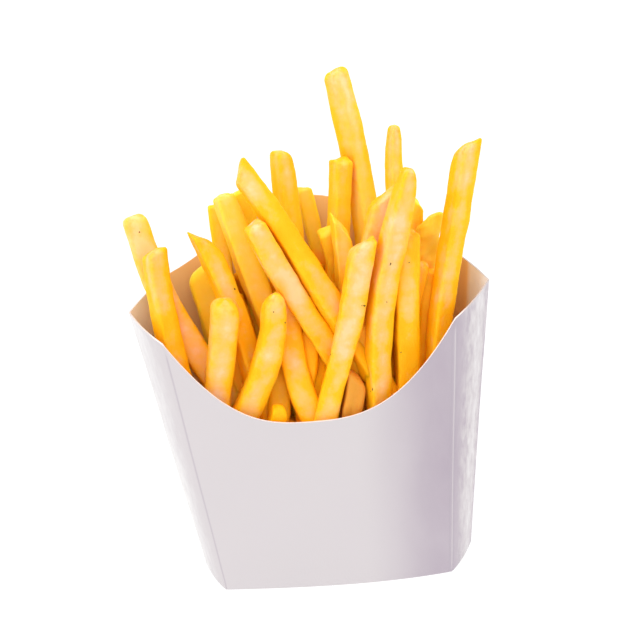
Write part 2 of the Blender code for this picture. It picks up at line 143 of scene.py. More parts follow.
# Each fry that shows: its tip, its foot, how far its middle sways to the right, its thickness,
# and how much its end is cut on the slant
SHOWN_FRIES = {
    "far_left": ((-60.6, 7.1, 146.8), (-24.5, -5.3, 59.7), -5.5, 10.4, 0.0),
    "left_front": ((-52.6, -5.4, 137.1), (-41.9, -11.9, 58.5), -4.1, 9.7, 0.45),
    "left_wall": ((-41.1, 15.7, 120.7), (-27.4, 7.6, 59.2), -1.5, 9.7, 0.5),
    "left_point": ((-35.6, -0.1, 137.8), (-19.0, -9.3, 58.2), 2.6, 9.4, -1.2),
    "short_pale": ((-28.6, -14.7, 119.4), (-42.7, -11.0, 57.1), 1.1, 11.0, 0.0),
    "strip": ((-30.9, 14.9, 145.4), (-25.1, 5.4, 59.3), -1.8, 6.5, 0.0),
    "second": ((-26.9, 7.1, 151.3), (-6.4, 0.8, 56.7), 0.7, 9.7, 0.0),
    "notch": ((-20.7, 17.9, 149.3), (-17.6, 6.1, 58.5), -0.5, 8.4, 0.3),
    "long_pale": ((-15.8, -9.2, 144.5), (22.5, -5.0, 57.1), -0.9, 9.3, 0.05),
    "long_slant": ((-19.1, 0.0, 162.4), (29.3, -14.6, 65.6), 2.0, 9.5, 0.85),
    "front_curl": ((-11.2, -16.0, 120.1), (-37.4, -12.1, 57.1), 5.6, 10.6, 0.4),
    "front_dip": ((-8.7, -1.0, 110.9), (2.3, -15.3, 58.7), -3.8, 10.2, 0.0),
    "dip_shade": ((-2.9, 2.8, 101.8), (-0.3, -6.5, 58.8), 0.2, 7.7, 0.2),
    "dip_stub": ((-14.1, -17.9, 76.9), (-16.6, -16.6, 59.3), 0.3, 9.6, 0.0),
    "dip_end": ((-14.1, -1.2, 85.2), (-18.1, -12.9, 59.2), 0.6, 9.1, 0.0),
    "left_shade": ((-27.2, 3.3, 97.1), (-31.1, -7.8, 59.4), 0.0, 7.6, 0.0),
    "back_left": ((-4.6, 15.6, 162.9), (-5.4, 7.9, 60.0), 0.0, 9.8, -0.3),
    "back_small": ((1.3, 24.7, 145.5), (12.8, 17.0, 55.8), -0.4, 6.5, 0.0),
    "back_low": ((8.8, 6.5, 134.8), (24.7, 15.7, 54.4), -0.8, 6.9, 0.0),
    "back_point": ((14.6, 0.3, 138.2), (15.8, 8.6, 54.9), -0.6, 7.9, -1.4),
    "back_flat": ((16.7, 16.3, 157.7), (-3.6, 12.8, 56.8), 2.3, 8.7, 0.0),
    "tallest": ((17.4, 26.0, 188.8), (18.6, 12.3, 58.9), 5.2, 10.0, 0.1),
    "back_thin": ((37.0, 24.1, 166.1), (39.7, 14.3, 58.9), -3.5, 6.6, 0.0),
    "oblique": ((32.2, -4.0, 149.8), (-1.1, -2.4, 60.2), 2.0, 9.7, 1.1),
    "long_right": ((41.5, -14.5, 160.8), (21.4, -14.6, 58.8), -4.6, 9.9, -0.4),
    "right_pale": ((38.2, -7.0, 136.2), (31.3, -13.9, 59.4), 0.0, 9.5, 0.0),
    "behind_long": ((41.5, 18.2, 140.3), (27.1, 6.2, 59.4), 1.5, 7.6, -1.0),
    "rough": ((46.6, 11.2, 134.1), (26.0, -2.2, 63.0), 1.6, 9.9, 0.8),
    "small_tip": ((42.6, -2.9, 122.4), (22.7, -4.5, 59.3), 0.5, 6.4, 0.0),
    "right_shade": ((44.6, 1.4, 117.6), (36.0, -8.4, 60.7), 0.7, 6.5, 0.0),
    "far_right": ((62.7, 1.9, 163.2), (41.1, -12.5, 58.3), -2.1, 9.2, 0.8),
    "front_pale": ((23.0, -16.3, 136.5), (-0.8, -16.0, 59.0), 0.7, 9.2, 0.8),
    "front_brown": ((14.7, -13.8, 85.5), (8.7, -16.8, 59.9), 0.7, 7.6, -0.8),
    "behind_pale": ((21.2, -9.9, 103.9), (10.7, -3.5, 55.9), -0.9, 7.6, 0.0),
}
FILL_ROWS = ((18.0, 121.0, -30.0, 44.0), (9.0, 113.0, -23.0, 40.0), (0.0, 98.0, -25.0, 40.0))
FILL_SPACING = 10.0
FILL_THICKNESS = 8.6
FILL_SCATTER = (7.0, 2.0, 5.0)
FILL_FOOT_FORWARD = 3.0
FILL_SWAY = 1.5
FILL_THINNING = 0.8
FILL_SLANT = 0.5

# How each shown fry looks: how pale it is, 0 a deep orange and 1 a cream, partly its own colour and
# partly painted light and shade for where it stands in the heap; how far it is turned on its length,
# in radians; how soft its corners and tip are; and how much its tip tapers
LOOKS = {
    "far_left": (0.85, 0.15, 0.60, 0.05),
    "left_front": (0.58, 0.55, 0.25, 0.05),
    "left_wall": (0.85, 0.20, 0.70, 0.10),
    "left_point": (0.56, 0.40, 0.15, 0.10),
    "short_pale": (0.97, 0.20, 0.95, 0.05),
    "strip": (0.78, 0.00, 0.30, 0.10),
    "second": (0.80, 0.25, 0.15, 0.22),
    "notch": (0.78, 0.10, 0.20, 0.00),
    "long_pale": (0.85, 0.10, 0.20, 0.18),
    "long_slant": (0.55, 0.30, 0.15, 0.05),
    "front_curl": (0.78, 0.30, 0.90, 0.35),
    "front_dip": (0.66, 0.10, 0.50, 0.00),
    "dip_shade": (0.10, 0.00, 0.50, 0.00),
    "dip_stub": (0.35, 0.10, 0.10, 0.55),
    "dip_end": (0.50, 0.10, 0.60, 0.00),
    "left_shade": (0.10, 0.00, 0.50, 0.00),
    "back_left": (0.65, 0.60, 0.30, 0.20),
    "back_small": (0.76, 0.10, 0.20, 0.15),
    "back_low": (0.50, 0.00, 0.40, 0.00),
    "back_point": (0.85, 0.30, 0.15, 0.10),
    "back_flat": (0.55, 0.55, 0.10, 0.00),
    "tallest": (0.80, 0.75, 0.40, 0.10),
    "back_thin": (0.88, 0.60, 0.30, 0.40),
    "oblique": (0.80, 0.10, 0.20, 0.00),
    "long_right": (0.82, 0.42, 0.35, 0.45),
    "right_pale": (0.56, 0.20, 0.40, 0.00),
    "behind_long": (0.75, 0.20, 0.20, 0.00),
    "rough": (0.42, 0.40, 0.40, 0.10),
    "small_tip": (0.40, 0.10, 0.80, 0.00),
    "right_shade": (0.10, 0.00, 0.50, 0.00),
    "far_right": (0.62, 0.60, 0.20, 0.05),
    "front_pale": (0.84, 0.15, 0.35, 0.08),
    "front_brown": (0.05, 0.20, 0.50, 0.00),
    "behind_pale": (0.10, 0.00, 0.50, 0.00),
}
# Shares of browning with painted shade, and of painted light in yellow, on single fries, and how
# many times deeper a rough one's crust is
BROWNING_AND_SHADE = {"front_brown": 0.70, "rough": 0.20, "behind_pale": 0.15, "small_tip": 0.10}
PAINTED_LIGHT_SHARES = {"second": 0.65, "back_point": 0.7, "back_small": 0.4, "notch": 0.8, "tallest": 0.2,
            "rough": 0.7, "left_wall": 0.5, "behind_long": 0.7, "back_low": 0.6, "dip_end": 0.5}
LUMPINESS = {"rough": 6.0}
# Fries below and behind are deep orange, partly a painted shade for the gaps between the shown ones
FILL_PALENESS = (0.0, 0.3)
FILL_TURN = 0.7
FILL_SOFTNESS = (0.3, 0.8)

# Fine form of a fry: rings along it, points round it, its section, and its unevenness along
SHOWN_RINGS = 64
FILL_RINGS = 36
ROUND_POINTS = 32
END_RINGS = 7
CLOSING = np.array((0.66, 0.33, 0.0))
CORNER_POWERS = (8.5, 3.4)
CORNER_CROWDING = 0.45
TIP_ROUNDING = (0.18, 0.92)
LID_DOME = 0.12
TAPER_LENGTH = 7.0
FACE_SINK = 0.035
SINK_CHANGE = 0.6
SINK_PACE = 9.0
FLATNESS = (0.86, 1.04)
TWIST = 0.35
TWIST_MIDDLE = 0.7
SWELLS = ((0.035, (3.0, 7.0)), (0.0175, (12.0, 22.0)))
WANDER = 0.4
WANDER_PACE = (5.0, 9.0)
WANDER_POWER = 6
CRUST = ((0.13, 11.0), (0.06, 4.5), (0.03, 1.8))
RAGGED_END = (0.5, 7.0)

# Tones over a fry: deeper at corners, partly their own colour and partly painted shade; a painted
# shade on sides seen edge on and low down; painted shade where others press close and painted light
# on what stands free at the back; drifting along it
CORNER_DEPTH = 0.5
CORNER_SHARPNESS = 1.5
SIDE_PAINTED_SHADE = 1.1
END_SHADE = 6.0
BROAD_DRIFT = (0.14, 30.0)
FINE_DRIFT = (0.08, 9.0)
LOWER_PAINTED_SHADE = 0.15
LOWER_HEIGHTS = (120.0, 85.0)
CROWD_SAMPLES = np.linspace(0.0, 1.0, 26)
CROWD_GAP = 1.3
# Where a painted light in yellow falls: towards the back of the heap, below the tips
BEHIND_DEPTHS = (-6.0, 14.0)
BEHIND_HEIGHTS = (168.0, 135.0)
PATTERN_LENGTH = 40.0
PATTERN_OFFSETS = (0.0, 50.0)

# Core under the fries
CORE_GAP = 1.3
CORE_TOP = 64.0
CORE_BACK_RISE = 8.0
CORE_END_RISE = 9.0
CORE_LEVELS = 12
CORE_LUMPS = (3.0, 14.0)

# Dark flecks: places and half lengths of those that show, then number and size of those behind
SHOWN_FLECKS = (
    (-58.2, 1.9, 142.3, 0.35), (-25.9, -4.2, 119.6, 0.45), (-11.7, -19.7, 115.1, 0.35),
    (-8.1, -18.2, 109.5, 0.40), (-1.0, -5.7, 81.9, 0.50), (20.7, -20.0, 114.7, 0.50),
    (19.6, -20.1, 114.1, 0.30), (31.2, -19.3, 128.2, 0.60), (31.9, -19.0, 128.7, 0.40),
    (39.3, 14.7, 130.5, 0.40), (38.2, -11.8, 125.8, 0.40), (21.5, -19.0, 81.7, 0.60),
    (19.5, -18.0, 79.9, 0.30), (7.0, -18.9, 96.5, 0.40), (29.9, -19.5, 114.0, 0.35),
    (17.4, -1.2, 128.6, 0.25), (32.0, -15.7, 92.7, 0.30),
)
BACK_FLECKS = 16
BACK_FLECK_SIZE = 0.4
FLECK_LOWEST = 120.0
FLECK_FACING_AWAY = 0.4
FLECK_POINTS = 8
FLECK_RINGS = 5
FLECK_NARROWNESS = (0.35, 0.8)
FLECK_RAGGEDNESS = 0.25
FLECK_THICKNESS = 0.2


def mix(low, high, share):
    """Value a share of the way from low to high."""
    return low + (high - low) * share


def smooth(edge0, edge1, value):
    """S-curve from 0 to 1 between two edges: 3t squared minus 2t cubed."""
    t = np.clip((value - edge0) / (edge1 - edge0), 0.0, 1.0)
    return t * t * (3.0 - 2.0 * t)


def ripple(points, wavelength, seed, layers=7):
    """Smooth uneven field from -1 to about 1 at 3-D points: a mean of sine waves.

    Each wave runs in its own random direction, with a length near the one given.
    """
    rng = np.random.default_rng(seed)
    total = np.zeros(points.shape[:-1])
    for _ in range(layers):
        direction = rng.normal(size=3)
        direction *= math.tau / (wavelength * rng.uniform(0.7, 1.5) * np.linalg.norm(direction))
        total += np.sin(points @ direction + rng.uniform(0.0, math.tau))
    return total / math.sqrt(layers)


def front_rim(x):
    """Height of the front cut edge and of the end panels' front edge, at a place across.

    A power of the distance from the middle, with its low point a little to the left.
    """
    shifted = x + SCOOP_SHIFT * (1.0 - np.minimum(np.abs(x) / TOP_HALF_WIDTH, 1.0) ** 2)
    t = np.minimum(np.abs(shifted) / TOP_HALF_WIDTH, 1.0)
    beyond = np.maximum(np.abs(x) - TOP_HALF_WIDTH, 0.0) / (OUTER_TOP_HALF_WIDTH - TOP_HALF_WIDTH)
    scoop = SCOOP_BOTTOM + (FRONT_CREASE_TOP - SCOOP_BOTTOM) * t ** SCOOP_POWER
    return scoop + (OUTER_TOP - FRONT_CREASE_TOP) * beyond


def back_rim(x):
    """Height of the back cut edge: a cosine mixed with a parabola gives the pointed arch."""
    t = np.minimum(np.abs(x) / TOP_HALF_WIDTH, 1.0)
    beyond = np.maximum(np.abs(x) - TOP_HALF_WIDTH, 0.0) / (OUTER_TOP_HALF_WIDTH - TOP_HALF_WIDTH)
    arch = mix(1.0 - t * t, 0.5 + 0.5 * np.cos(np.pi * t), ARCH_COSINE)
    return BACK_CREASE_TOP + ARCH_RISE * arch + (OUTER_TOP - BACK_CREASE_TOP) * beyond


def half_depth(x, z):
    """Half the carton's outer depth at x and height z, and the cosine of the wall's slant there."""
    up = z / FRONT_CREASE_TOP
    crease = mix(BASE_HALF_WIDTH, TOP_HALF_WIDTH, up)
    side = mix(BASE_HALF_DEPTH, TOP_HALF_DEPTH, up)
    bow = mix(BASE_BOW, TOP_BOW, up)
    outer_up = (z - OUTER_BASE_HEIGHT) / (OUTER_TOP - OUTER_BASE_HEIGHT)
    outer = mix(OUTER_BASE_HALF_WIDTH, OUTER_TOP_HALF_WIDTH, outer_up)
    across = np.abs(x)
    panel = side + bow * (1.0 - (across / crease) ** 2)
    end = side * (outer - across) / (outer - crease)
    slant = (outer - crease) / np.hypot(outer - crease, side)
    return np.where(across < crease, panel, end), np.where(across < crease, 1.0, slant)


# Meshes

def grid_faces(rows, columns, start=0, wrap=False):
    """Corner numbers of the quads of a grid stored row by row; wrap closes each row on itself."""
    across = columns if wrap else columns - 1
    row, column = np.meshgrid(np.arange(rows - 1), np.arange(across), indexing="ij")
    right = (column + 1) % columns
    quads = np.stack((row * columns + column, row * columns + right,
                      (row + 1) * columns + right, (row + 1) * columns + column), axis=-1)
    return quads.reshape(-1, 4) + start


def new_piece(name, points, quads, materials, face_material=None, attributes=None, uv=None):
    """Mesh object from arrays of points in millimetres and of quads, smooth shaded.

    attributes holds one value for each point under a name, and uv one pair for each point.
    """
    mesh = bpy.data.meshes.new(name)
    quads = np.ascontiguousarray(quads, dtype=np.int32)
    mesh.vertices.add(len(points))
    mesh.vertices.foreach_set("co", (points * MM).astype(np.float32).ravel())
    mesh.loops.add(quads.size)
    mesh.loops.foreach_set("vertex_index", quads.ravel())
    mesh.polygons.add(len(quads))
    mesh.polygons.foreach_set("loop_start", np.arange(0, quads.size, 4, dtype=np.int32))
    if face_material is not None:
        mesh.polygons.foreach_set("material_index", face_material.astype(np.int32))
    for label, values in (attributes or {}).items():
        layer = mesh.attributes.new(label, "FLOAT", "POINT")
        layer.data.foreach_set("value", values.astype(np.float32))
    if uv is not None:
        layer = mesh.uv_layers.new(name="along")
        layer.data.foreach_set("uv", uv[quads.ravel()].astype(np.float32).ravel())
    mesh.update(calc_edges=True)
    for material in materials:
        mesh.materials.append(material)
    clean = bmesh.new()
    clean.from_mesh(mesh)
    bmesh.ops.remove_doubles(clean, verts=clean.verts, dist=0.00001)
    bmesh.ops.dissolve_degenerate(clean, edges=clean.edges, dist=0.000005)
    bmesh.ops.recalc_face_normals(clean, faces=clean.faces)
    clean.to_mesh(mesh)
    clean.free()
    mesh.shade_smooth()
    piece = bpy.data.objects.new(name, mesh)
    bpy.context.scene.collection.objects.link(piece)
    return piece


# Carton

def half_loop_stops():
    """Places round half the carton, left outer crease to right outer crease, in millimetres.

    They are evenly spaced on each panel and crowd together at the creases. The end panels are
    END_LENGTH long and the front panel PANEL_LENGTH.
    """
    near = NEAR_CREASE
    end = np.arange(near[-1] + END_SPACING, END_LENGTH - near[-1], END_SPACING)
    panel = np.arange(near[-1] + PANEL_SPACING, PANEL_LENGTH - near[-1], PANEL_SPACING)
    left = np.concatenate(((0.0,), near, end, END_LENGTH - near[::-1]))
    middle = np.concatenate(((0.0,), near, panel, PANEL_LENGTH - near[::-1]))
    last = 2.0 * END_LENGTH + PANEL_LENGTH
    return np.concatenate((left, END_LENGTH + middle, END_LENGTH + PANEL_LENGTH + left, (last,)))


def outward_share(stops):
    """Share of the way from a crease of the panel to the outer crease; 0 all over the panel."""
    beyond = np.maximum(END_LENGTH - stops, stops - END_LENGTH - PANEL_LENGTH)
    return np.clip(beyond / END_LENGTH, 0.0, 1.0)


def round_sheet(front, back):
    """Whole turn round the sheet from its halves, which share their ends at the outer creases."""
    return np.concatenate((front, back[-2:0:-1]))


def sheet_line(stops, side, level, inset=0.0, top=None, floor=0.0):
    """Points of the sheet at places round one half, side -1 in front and 1 behind.

    A column rises along a straight line from the base to its cut edge, and level is the share of
    that rise. On the bowed panel the line starts at t times the base's half width and leans out to
    t times the top's. On an end panel it is a straight blend of the front crease and the outer one,
    with a parabola's bulge. The front's bow is one less a power of t, a little fuller on the right.
    """
    inner = np.clip((stops - END_LENGTH) / PANEL_LENGTH, 0.0, 1.0)
    t = 2.0 * inner - 1.0
    outward = outward_share(stops)
    end_side = np.where(stops < END_LENGTH, -1.0, 1.0)
    rim = front_rim if side < 0 else back_rim
    top = top or rim
    lean = 1.0 + BOW_LEAN * t if side < 0 else 1.0

    def crease_column(z):
        up = z / FRONT_CREASE_TOP
        bow = lean * (1.0 - np.abs(t) ** (BOW_POWER + BOW_POWER_RISE * up))
        x = t * (mix(BASE_HALF_WIDTH, TOP_HALF_WIDTH, up) - INSET_AT_CREASE * inset)
        y = mix(BASE_HALF_DEPTH, TOP_HALF_DEPTH, up) + bow * mix(BASE_BOW, TOP_BOW, up) - inset
        return np.stack((x, side * y, z + 0.0 * x), axis=-1)

    def outer_column(z):
        up = (z - OUTER_BASE_HEIGHT) / (OUTER_TOP - OUTER_BASE_HEIGHT)
        x = mix(OUTER_BASE_HALF_WIDTH, OUTER_TOP_HALF_WIDTH, up) - INSET_AT_OUTER * inset
        return np.stack((end_side * x, 0.0 * end_side, z + 0.0 * end_side), axis=-1)

    crease = crease_column(mix(floor, top(TOP_HALF_WIDTH * t), level))
    outer = outer_column(mix(OUTER_BASE_HEIGHT + floor, top(OUTER_TOP_HALF_WIDTH), level))
    bulge = END_BULGE * 4.0 * outward * (1.0 - outward)
    away = np.stack((end_side * TOP_HALF_DEPTH, side + 0.0 * end_side, 0.0 * end_side), axis=-1)
    away[:, 1] *= OUTER_TOP_HALF_WIDTH - TOP_HALF_WIDTH
    return mix(crease, outer, outward[:, None]) + bulge[:, None] * away / END_LENGTH


def sheet_ring(level, **where):
    """Closed ring of points round the sheet, with each crease rounded.

    The rounding takes a quarter of the points half a millimetre to either side and half of the
    point itself. The ring starts at the left outer crease and runs along the front.
    """
    stops = half_loop_stops()
    last = stops[-1]

    def rounded(side):
        before = sheet_line(np.abs(stops - CREASE_ROUNDING), side, level, **where)
        here = sheet_line(stops, side, level, **where)
        after = sheet_line(last - np.abs(last - stops - CREASE_ROUNDING), side, level, **where)
        before[0, 1] *= -1.0
        after[-1, 1] *= -1.0
        return 0.25 * before + 0.5 * here + 0.25 * after

    return round_sheet(rounded(-1), rounded(1))


def score_profile(stops):
    """Depth of the pressed scores at the folds, from 0 to 1: a bell curve round each."""
    lines = [END_LENGTH + offset for offset in LEFT_SCORES]
    lines += [END_LENGTH + PANEL_LENGTH + offset for offset in RIGHT_SCORES]
    return sum(np.exp(-((stops - line) / SCORE_WIDTH) ** 2) for line in lines)


def score_highlight(stops):
    """Painted highlight on the stripe between the two scores at the right crease: a bell curve."""
    past_right = stops - END_LENGTH - PANEL_LENGTH
    return SCORE_HIGHLIGHT * np.exp(-(past_right / SCORE_HIGHLIGHT_WIDTH) ** 2)


def outer_tone(stops, side):
    """Tone of the outer skin: paler to the left end, and paler and then duller to the right.

    These tones are a painted light and shade. In front the panel has a painted shade towards its
    right crease, which fades away over the end panel.
    """
    outward = outward_share(stops)
    left = LEFT_END_PAINTED_LIGHT * smooth(0.0, 1.0, outward)
    right = RIGHT_END_PAINTED_LIGHT * smooth(0.0, RIGHT_END_LIGHT_BY, outward)
    right -= RIGHT_EDGE_PAINTED_SHADE * smooth(RIGHT_EDGE_FROM, 1.0, outward)
    tone = USUAL_TONE + np.where(stops < END_LENGTH, left, right)
    if side > 0:
        return tone
    shaded = smooth(*FRONT_SHADE_PLACE, (stops - END_LENGTH) / PANEL_LENGTH)
    return tone - FRONT_SHADE * shaded * (1.0 - smooth(0.0, FRONT_SHADE_GONE, outward))


def inner_tone(stops):
    """Inner tone: painted light at the outer creases, painted shade beside the panel's creases."""
    past_left = stops - END_LENGTH
    past_right = past_left - PANEL_LENGTH
    right = smooth(*INNER_RIGHT_PLACE, past_right / END_LENGTH)
    left = 1.0 - smooth(*INNER_LEFT_PLACE, stops / END_LENGTH)
    bell = np.exp(-((past_left - INNER_LEFT_SHADE_MIDDLE) / INNER_LEFT_SHADE_WIDTH) ** 2)
    brown_darkening = INNER_LEFT_PAINTED_SHADE * bell
    brown_darkening += INNER_RIGHT_PAINTED_SHADE * smooth(*INNER_RIGHT_SHADE_PLACE, past_right) * (1.0 - right)
    return USUAL_TONE + INNER_RIGHT_PAINTED_LIGHT * right + INNER_LEFT_PAINTED_LIGHT * left - brown_darkening


def worn_share(stops):
    """How crumpled the sheet is, from 0 on the panels to 1 on the right end and less on the left."""
    return smooth(*WORN_PLACE, outward_share(stops)) * np.where(stops < END_LENGTH, LEFT_WEAR, 1.0)


def surface_normals(rings):
    """Outward unit normals of a stack of closed rings, from differences round and up."""
    around = np.roll(rings, -1, axis=1) - np.roll(rings, 1, axis=1)
    up = np.gradient(rings, axis=0)
    normals = np.cross(around, up)
    return normals / np.linalg.norm(normals, axis=-1, keepdims=True)


def floor_grid(ring, half):
    """Grid across the bottom: each row mixes the front half of a ring with the back half."""
    front = ring[:half]
    back = np.concatenate((ring[:1], ring[:half - 2:-1]))
    shares = np.linspace(0.0, 1.0, FLOOR_ROWS + 1)
    return mix(front[None], back[None], shares[:, None, None])


def make_carton(outside, inside, cut_edge):
    """Folded sheet: an outer skin, an inner one a board's thickness in, the cut edge and the floor.

    The skin is warped by a long low ripple, fading at the base, and pressed in along the scores.
    Its tone, with a painted light and shade and a painted highlight between the right scores, its
    scores and wear go into attributes that the papers read.
    """
    stops = half_loop_stops()
    half = len(stops)
    levels = np.linspace(0.0, 1.0, LEVELS) ** LEVEL_POWER
    skin = np.stack([sheet_ring(level) for level in levels])
    drop = (1.0 - levels)[:, None] * (skin[-1:, :, 2] - skin[:1, :, 2])
    below_rim = smooth(SCORE_START, SCORE_FADE, drop)
    scored = round_sheet(score_profile(stops), np.zeros(half)) * below_rim
    highlight = round_sheet(score_highlight(stops), np.zeros(half)) * below_rim
    warp = WARP * ripple(skin, WARP_LENGTH, 3) * smooth(0.0, WARP_FREE_FROM, levels)[:, None]
    outer = skin + surface_normals(skin) * (warp - SCORE_DEPTH * scored)[..., None]
    inner = outer - BOARD * surface_normals(outer)
    inner[0, :, 2] = outer[0, :, 2] + BOARD
    edge = np.stack((outer[-1], inner[-1]))
    outer_tones = round_sheet(outer_tone(stops, -1), outer_tone(stops, 1))
    inner_tones = round_sheet(inner_tone(stops), inner_tone(stops))
    worn = round_sheet(worn_share(stops), worn_share(stops))

    def floor_tones(tones):
        return floor_grid(tones[:, None], half)[..., 0]

    patches = (
        (outer, True, 0, outer_tones + highlight, scored, worn),
        (inner, True, 1, inner_tones, 0.0, worn),
        (edge, True, 2, np.stack((outer_tones, inner_tones)), 0.0, worn),
        (floor_grid(outer[0], half), False, 0, floor_tones(outer_tones), 0.0, 0.0),
        (floor_grid(inner[0], half), False, 1, floor_tones(inner_tones), 0.0, 0.0),
    )
    points, quads, kinds = [], [], []
    values = {"tone": [], "score": [], "worn": []}
    start = 0
    for grid, wrap, kind, *patch_values in patches:
        shape = grid.shape[:2]
        faces = grid_faces(*shape, start, wrap)
        points.append(grid.reshape(-1, 3))
        quads.append(faces)
        kinds.append(np.full(len(faces), kind))
        for label, value in zip(values, patch_values):
            values[label].append(np.broadcast_to(value, shape).reshape(-1))
        start += shape[0] * shape[1]
    carton = new_piece("paper_carton", np.concatenate(points), np.concatenate(quads),
                       (outside, inside, cut_edge), np.concatenate(kinds),
                       {label: np.concatenate(value) for label, value in values.items()})
    carton.data.set_sharp_from_angle(angle=math.radians(SHARP_ANGLE))
    return carton


# Heap

def fry_paths(tips, feet, sway, shares):
    """Points on every fry's middle line: a straight line with a parabola's sideways sway."""
    points = mix(feet[:, None], tips[:, None], shares[None, :, None])
    points[..., 0] += sway[:, None] * 4.0 * shares * (1.0 - shares)
    return points


def outward_part(points, thickness):
    """How far each point of the middle lines stands too far out for its fry to clear the wall."""
    x, y, z = points[..., 0], points[..., 1], points[..., 2]
    wall, slant = half_depth(x, np.minimum(z, np.where(y < 0.0, front_rim(x), back_rim(x))))
    room = np.maximum(wall - (HALF_DIAGONAL * thickness[:, None] + WALL_CLEARANCE) / slant, 0.0)
    held = (y < 0.0) | (z < back_rim(x) + RIM_MARGIN)
    return np.where(held, np.sign(y) * np.maximum(np.abs(y) - room, 0.0), 0.0)


def shift(tips, feet, move, shares):
    """Move tips and feet along the sight by the largest moves asked for, weighted by nearness."""
    at_tip = move * shares
    at_foot = move * (1.0 - shares)
    tip_move = np.maximum(at_tip.max(1), 0.0) + np.minimum(at_tip.min(1), 0.0)
    foot_move = np.maximum(at_foot.max(1), 0.0) + np.minimum(at_foot.min(1), 0.0)
    return tips + SIGHT * tip_move[:, None], feet + SIGHT * foot_move[:, None]


def settle(tips, feet, sway, thickness, placed):
    """Part the fries that run into each other, along the line of sight, and keep them inside.

    The first ones, placed in number, stay where they are, and the others move.

    Two fries touch where their middle lines come as near as their half thicknesses. Seen along
    SIGHT they pass at some distance across, so the depth they need is the other side of a right
    triangle. Which of two is in front is settled once, from where they start. Each round moves
    a fry by a share of what is missing, and moves back inside whatever has left the carton.
    """
    count = len(tips)
    samples = len(SETTLE_SAMPLES)
    reach = 0.5 * CONTACT * (thickness[:, None] + thickness[None, :])
    np.fill_diagonal(reach, 0.0)
    reach = reach.repeat(samples, 0).repeat(samples, 1)
    loose = np.where(np.arange(count) < placed, 0.0, 1.0)[:, None]
    order = None
    for _ in range(SETTLE_STEPS):
        points = fry_paths(tips, feet, sway, SETTLE_SAMPLES)
        flat = points.reshape(-1, 3)
        depth = flat @ SIGHT
        gap = depth[None] - depth[:, None]
        across = np.maximum(((flat[None] - flat[:, None]) ** 2).sum(-1) - gap ** 2, 0.0)
        need = np.sqrt(np.maximum(reach ** 2 - across, 0.0)).reshape(count, samples, count, samples)
        gap = gap.reshape(count, samples, count, samples)
        if order is None:
            order = np.sign((gap * need).sum((1, 3)))[:, None, :, None]
        missing = np.where(need > 0.0, np.maximum(need - order * gap, 0.0), 0.0)
        push = -order * missing
        move = SETTLE_SHARE * loose * (push.max((2, 3)) + push.min((2, 3)))
        tips, feet = shift(tips, feet, move, SETTLE_SAMPLES)
        points = fry_paths(tips, feet, sway, WALL_SAMPLES)
        move = -loose * outward_part(points, thickness) / SIGHT[1]
        tips, feet = shift(tips, feet, move, WALL_SAMPLES)
    return tips, feet


def place_fries():
    """Tips, feet, sway, thickness and slant of every fry, the shown ones first, then the fill."""
    rng = np.random.default_rng(SEED)
    rows = list(SHOWN_FRIES.values())
    for depth, height, left, right in FILL_ROWS:
        for x in np.arange(left, right, FILL_SPACING):
            lean_x, lean_y, lift, thin = rng.uniform(-1.0, 1.0, 4)
            scatter = np.multiply(FILL_SCATTER, (lean_x, lean_y, lift))
            rows.append((scatter + (x, depth, height), (x, depth - FILL_FOOT_FORWARD, FOOT_LEVEL),
                         FILL_SWAY * lean_y, FILL_THICKNESS + FILL_THINNING * thin,
                         FILL_SLANT * lean_x))
    tips, feet, sway, thickness, slant = (np.array(column, float) for column in zip(*rows))
    tips, feet = settle(tips, feet, sway, thickness, len(SHOWN_FRIES))
    return tips, feet, sway, thickness, slant


def waves(rng, share, slowest, fastest):
    """Sine of the share along a fry, with a random frequency between two and a random phase."""
    return np.sin(share * rng.uniform(slowest, fastest) + rng.uniform(0.0, math.tau))


def tip_rings(half, softness):
    """Sizes of a tip's rings as shares of the half thickness, and how far they stand out.

    A quarter circle leads inwards to a lid, which is closed by three rings on a low dome.
    """
    rounding = mix(*TIP_ROUNDING, softness)
    quarter = np.linspace(0.0, 0.5 * math.pi, END_RINGS)[1:]
    lid = 1.0 - rounding
    sizes = np.concatenate((1.0 - rounding * (1.0 - np.cos(quarter)), lid * CLOSING))
    dome = LID_DOME * lid * (1.0 - CLOSING ** 2)
    return sizes, half * np.concatenate((rounding * (np.sin(quarter) - 1.0), dome)), half * rounding


def fry_section(softness):
    """Directions round a fry, the radius at each, and how near the middle of a face each is.

    The section is a superellipse: the two offsets from the middle, each to the power of a number,
    add up to a constant, which gives a square with rounded corners. The points crowd together at
    the corners.
    """
    power = mix(*CORNER_POWERS, softness)
    even = np.arange(ROUND_POINTS) * math.tau / ROUND_POINTS
    angle = even + CORNER_CROWDING * np.sin(4.0 * even) / 4.0
    radius = (np.abs(np.cos(angle)) ** power + np.abs(np.sin(angle)) ** power) ** (-1.0 / power)
    return angle, radius, np.cos(2.0 * angle) ** 2


def fry_axes(tip, foot, sway, share):
    """Unit vectors along a fry, to its right and away from the view, at shares of its length."""
    bend = 4.0 * sway * (1.0 - 2.0 * share)
    tangent = (tip - foot)[None] + bend[:, None] * np.array((1.0, 0.0, 0.0))
    tangent /= np.linalg.norm(tangent, axis=1, keepdims=True)
    right = np.cross(SIGHT, tangent)
    right /= np.linalg.norm(right, axis=1, keepdims=True)
    return tangent, right, np.cross(tangent, right)


def crust_height(points, size, lumps, seed):
    """How far the crust stands out: a sum of ripples, less on the small rings that close a fry."""
    ripples = (height * ripple(points, wavelength, seed + i)
               for i, (height, wavelength) in enumerate(CRUST))
    return lumps * sum(ripples) * np.minimum(size * 2.0, 1.0)[:, None]


